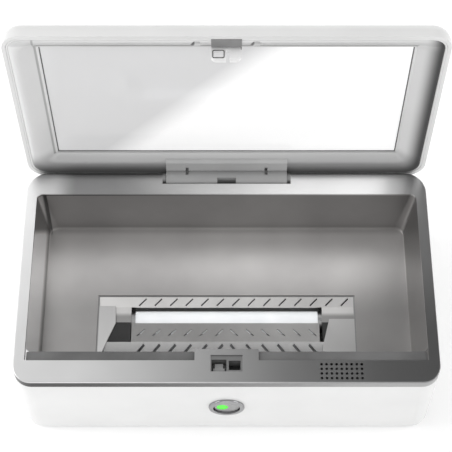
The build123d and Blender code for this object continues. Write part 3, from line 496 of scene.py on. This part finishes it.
# Grey and black mouldings, the seal and the feet; the hinge block gets painted shade on its knuckle
black = plastic("black_plastic", grey(0.01), grey(0.025), (0.4, 0.5))
dress(black, "lamp_sockets", "button_switch", "power_inlet", "lid_sensor", "sounder", "board_chips")
latch = plastic("latch_grey", grey(0.2), grey(0.26), (0.3, 0.42))
dress(latch, "latch_housing", "latch_plate", "hinge_spacers")
dress(plastic("catch_grey", grey(0.2), grey(0.25), (0.35, 0.45)), "latch_catch")
hinge = plastic("hinge_grey", grey(0.38), grey(0.42), (0.6, 0.7), bump=0.02)
paint_shading_hinge(hinge)
dress(hinge, "hinge_block")
dress(plastic("seal_foam", grey(0.09), grey(0.145), (0.75, 0.9), grain=2500.0, bump=0.5), "light_seal")
dress(plastic("foot_rubber", grey(0.02), grey(0.035), (0.7, 0.85)), "rubber_feet")

# Board, its parts and the mirror's backing
dress(plastic("board_green", (0.01, 0.1, 0.04), (0.02, 0.16, 0.06), (0.35, 0.5)), "control_board")
dress(plastic("coil_tape", (0.5, 0.3, 0.03), (0.6, 0.38, 0.05), (0.4, 0.5)), "ballast_coil")
sleeve = plastic("capacitor_sleeve", (0.01, 0.015, 0.06), (0.02, 0.03, 0.1), (0.25, 0.35))
dress(sleeve, "board_capacitors")
ivory = plastic("connector_ivory", (0.7, 0.68, 0.6), (0.78, 0.76, 0.68), (0.4, 0.5))
dress(ivory, "board_connectors")
dress(plastic("backing_board", (0.3, 0.29, 0.27), (0.36, 0.35, 0.33), (0.7, 0.85)), "mirror_backing")

# Lamp, light, and the mirror with its painted reflection and glow
dress(lamp_glass(), "uv_tube")
dress(green_lens(), "button_lens")
dress(mirror_plate(), "lid_mirror")


def ring(name, half_x, reach_z, face_y, corners, section):
    """A closed frame in the XZ plane, with its own corner radius at the foot and at the top."""
    form = bmesh.new()
    low, high = corners
    places = [
        (half_x - high, reach_z[1] - high, high, 0.0),
        (high - half_x, reach_z[1] - high, high, 90.0),
        (low - half_x, reach_z[0] + low, low, 180.0),
        (half_x - low, reach_z[0] + low, low, 270.0),
    ]
    loops = []
    for centre_x, centre_z, corner, start in places:
        for step in range(CORNER_STEPS + 1):
            turn = math.radians(start + 90.0 * step / CORNER_STEPS)
            loop = []
            for out, lift in section:
                x = centre_x + math.cos(turn) * (corner + out)
                z = centre_z + math.sin(turn) * (corner + out)
                loop.append(form.verts.new((x, face_y - lift, z)))
            loops.append(loop)
    for here, after in zip(loops, loops[1:] + loops[:1]):
        for index in range(len(section)):
            following = (index + 1) % len(section)
            form.faces.new((here[index], here[following], after[following], after[index]))
    bmesh.ops.recalc_face_normals(form, faces=form.faces)
    for face in form.faces:
        face.smooth = True
    mesh = bpy.data.meshes.new(name)
    form.to_mesh(mesh)
    form.free()
    piece = bpy.data.objects.new(name, mesh)
    bpy.context.scene.collection.objects.link(piece)
    return piece


def strip(inner, outer, lift):
    return [(inner, 0.0), (inner, lift), (outer, lift), (outer, 0.0)]


# Dark ring round the mirror, a painted shadow line where the mirror meets the frame
shadow_ring_dark = plastic("mirror_shadow_ring", grey(0.1), grey(0.15), (0.5, 0.6))
mirror_shadow_ring = ring(
    "mirror_shadow_ring",
    WINDOW_X,
    (WINDOW_LOW, WINDOW_HIGH),
    MIRROR_LOW.y,
    (SHADOW_RING_WIDTH, SHADOW_RING_WIDTH),
    strip(-SHADOW_RING_WIDTH, 0.0, SHADOW_RING_LIFT),
)
mirror_shadow_ring.data.materials.append(shadow_ring_dark)
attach(mirror_shadow_ring, "lid")

# Dark rim round the window of the latch tongue, painted shade and reflection of the tongue's dark
# underside in the mirror
tongue_window_shade = ring(
    "tongue_window_shade",
    TONGUE_WINDOW[0],
    (-TONGUE_WINDOW[1], TONGUE_WINDOW[1]),
    0.0,
    (TONGUE_WINDOW_CORNER, TONGUE_WINDOW_CORNER),
    strip(*TONGUE_RIM_REACH, TONGUE_RIM_LIFT),
)
window_x = TONGUE_LOW.x + TONGUE_WINDOW_PLACE[0]
window_y = TONGUE_LOW.y + TONGUE_WINDOW_PLACE[1]
laid_flat = Matrix.Rotation(math.radians(-90.0), 4, "X")
tongue_window_shade.data.transform(Matrix.Translation((window_x, window_y, TONGUE_HIGH.z)) @ laid_flat)
tongue_window_shade.data.materials.append(black)
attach(tongue_window_shade, "lid")

# White lip that closes the groove between the lid casing and the lid frame
lid_lip = ring(
    "lid_lip",
    FRAME_HIGH.x - LIP_INSET,
    (LID_FOOT + LIP_INSET, LID_TOP - LIP_INSET),
    LID_FACE + LIP_BACK,
    LIP_CORNERS,
    LIP_SECTION,
)
lid_lip.data.materials.append(lip)
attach(lid_lip, "lid")


def squeezed(node):
    coil_piece = bpy.data.objects.new(node + "_sprung", nodes[node].data.copy())
    bpy.context.scene.collection.objects.link(coil_piece)
    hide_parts(node)
    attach(coil_piece, "base")
    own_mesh(coil_piece)


# Return springs, which shorten in the real box as the button and the catch move: each is copied into a
# piece of its own on the base, and the imported one is hidden
squeezed("button_spring")
squeezed("catch_spring")


def softbox(name, place, size, power):
    data = bpy.data.lights.new(name, "AREA")
    data.shape = "RECTANGLE"
    data.size, data.size_y = size
    data.energy = power
    lamp = bpy.data.objects.new(name, data)
    lamp.location = place
    aim = Vector(LIGHT_TARGET) - Vector(place)
    lamp.rotation_euler = aim.to_track_quat("-Z", "Y").to_euler()
    bpy.context.scene.collection.objects.link(lamp)


def floor():
    mesh = bpy.data.meshes.new("floor")
    form = bmesh.new()
    bmesh.ops.create_grid(form, x_segments=1, y_segments=1, size=FLOOR_HALF)
    form.to_mesh(mesh)
    form.free()
    plane = bpy.data.objects.new("floor", mesh)
    bpy.context.scene.collection.objects.link(plane)
    material, tree, shader = new_material("studio_floor")
    shader.inputs["Base Color"].default_value = (*grey(FLOOR_WHITE), 1.0)
    shader.inputs["Roughness"].default_value = FLOOR_ROUGHNESS
    glow(shader, grey(1.0), FLOOR_GLOW)
    mesh.materials.append(material)


def world(back_left, back_right, front_left, front_right, skirt):
    """Even near the floor, and dark higher up at the back on the right."""
    studio = bpy.data.worlds.new("studio")
    studio.use_nodes = True
    tree = studio.node_tree
    axes = tree.nodes.new("ShaderNodeSeparateXYZ")
    tree.links.new(tree.nodes.new("ShaderNodeTexCoord").outputs["Generated"], axes.inputs["Vector"])
    across, deep, up = axes.outputs
    front = fade(tree, across, -WORLD_MIDDLE, WORLD_MIDDLE, front_left, front_right)
    back = fade(tree, across, -WORLD_MIDDLE, WORLD_MIDDLE, back_left, back_right)
    ceiling = mixed(tree, fade(tree, deep, -WORLD_TURN, WORLD_TURN, 0.0, 1.0), front, back)
    height = fade(tree, up, *WORLD_SKIRT)
    whole = tree.nodes.new("ShaderNodeMix")
    whole.inputs["A"].default_value = skirt
    tree.links.new(height, whole.inputs["Factor"])
    tree.links.new(ceiling, whole.inputs["B"])
    backdrop = tree.nodes["Background"]
    backdrop.inputs["Color"].default_value = (*grey(1.0), 1.0)
    tree.links.new(whole.outputs["Result"], backdrop.inputs["Strength"])
    bpy.context.scene.world = studio


def camera():
    data = bpy.data.cameras.new("camera")
    data.lens = CAMERA_LENS
    data.sensor_width = CAMERA_SENSOR
    data.shift_x = CAMERA_SHIFT
    data.clip_start = CAMERA_NEAR
    eye = bpy.data.objects.new("camera", data)
    eye.location = (0.0, RIM_FRONT - CAMERA_BACK, RIM_TOP + CAMERA_UP)
    eye.rotation_euler = (CAMERA_TILT, 0.0, 0.0)
    bpy.context.scene.collection.objects.link(eye)
    bpy.context.scene.camera = eye


floor()
world(back_left=1.25, back_right=0.08, front_left=0.8, front_right=0.95, skirt=0.95)
softbox("left_panel", place=(-1.9, 0.1, 1.2), size=(1.2, 1.2), power=18.0)
softbox("right_panel", place=(1.9, 0.1, 1.2), size=(1.2, 1.2), power=14.0)
softbox("front_panel", place=(0.0, -2.3, 0.5), size=(1.6, 0.9), power=6.5)
camera()

bpy.context.scene.view_settings.view_transform = "Standard"
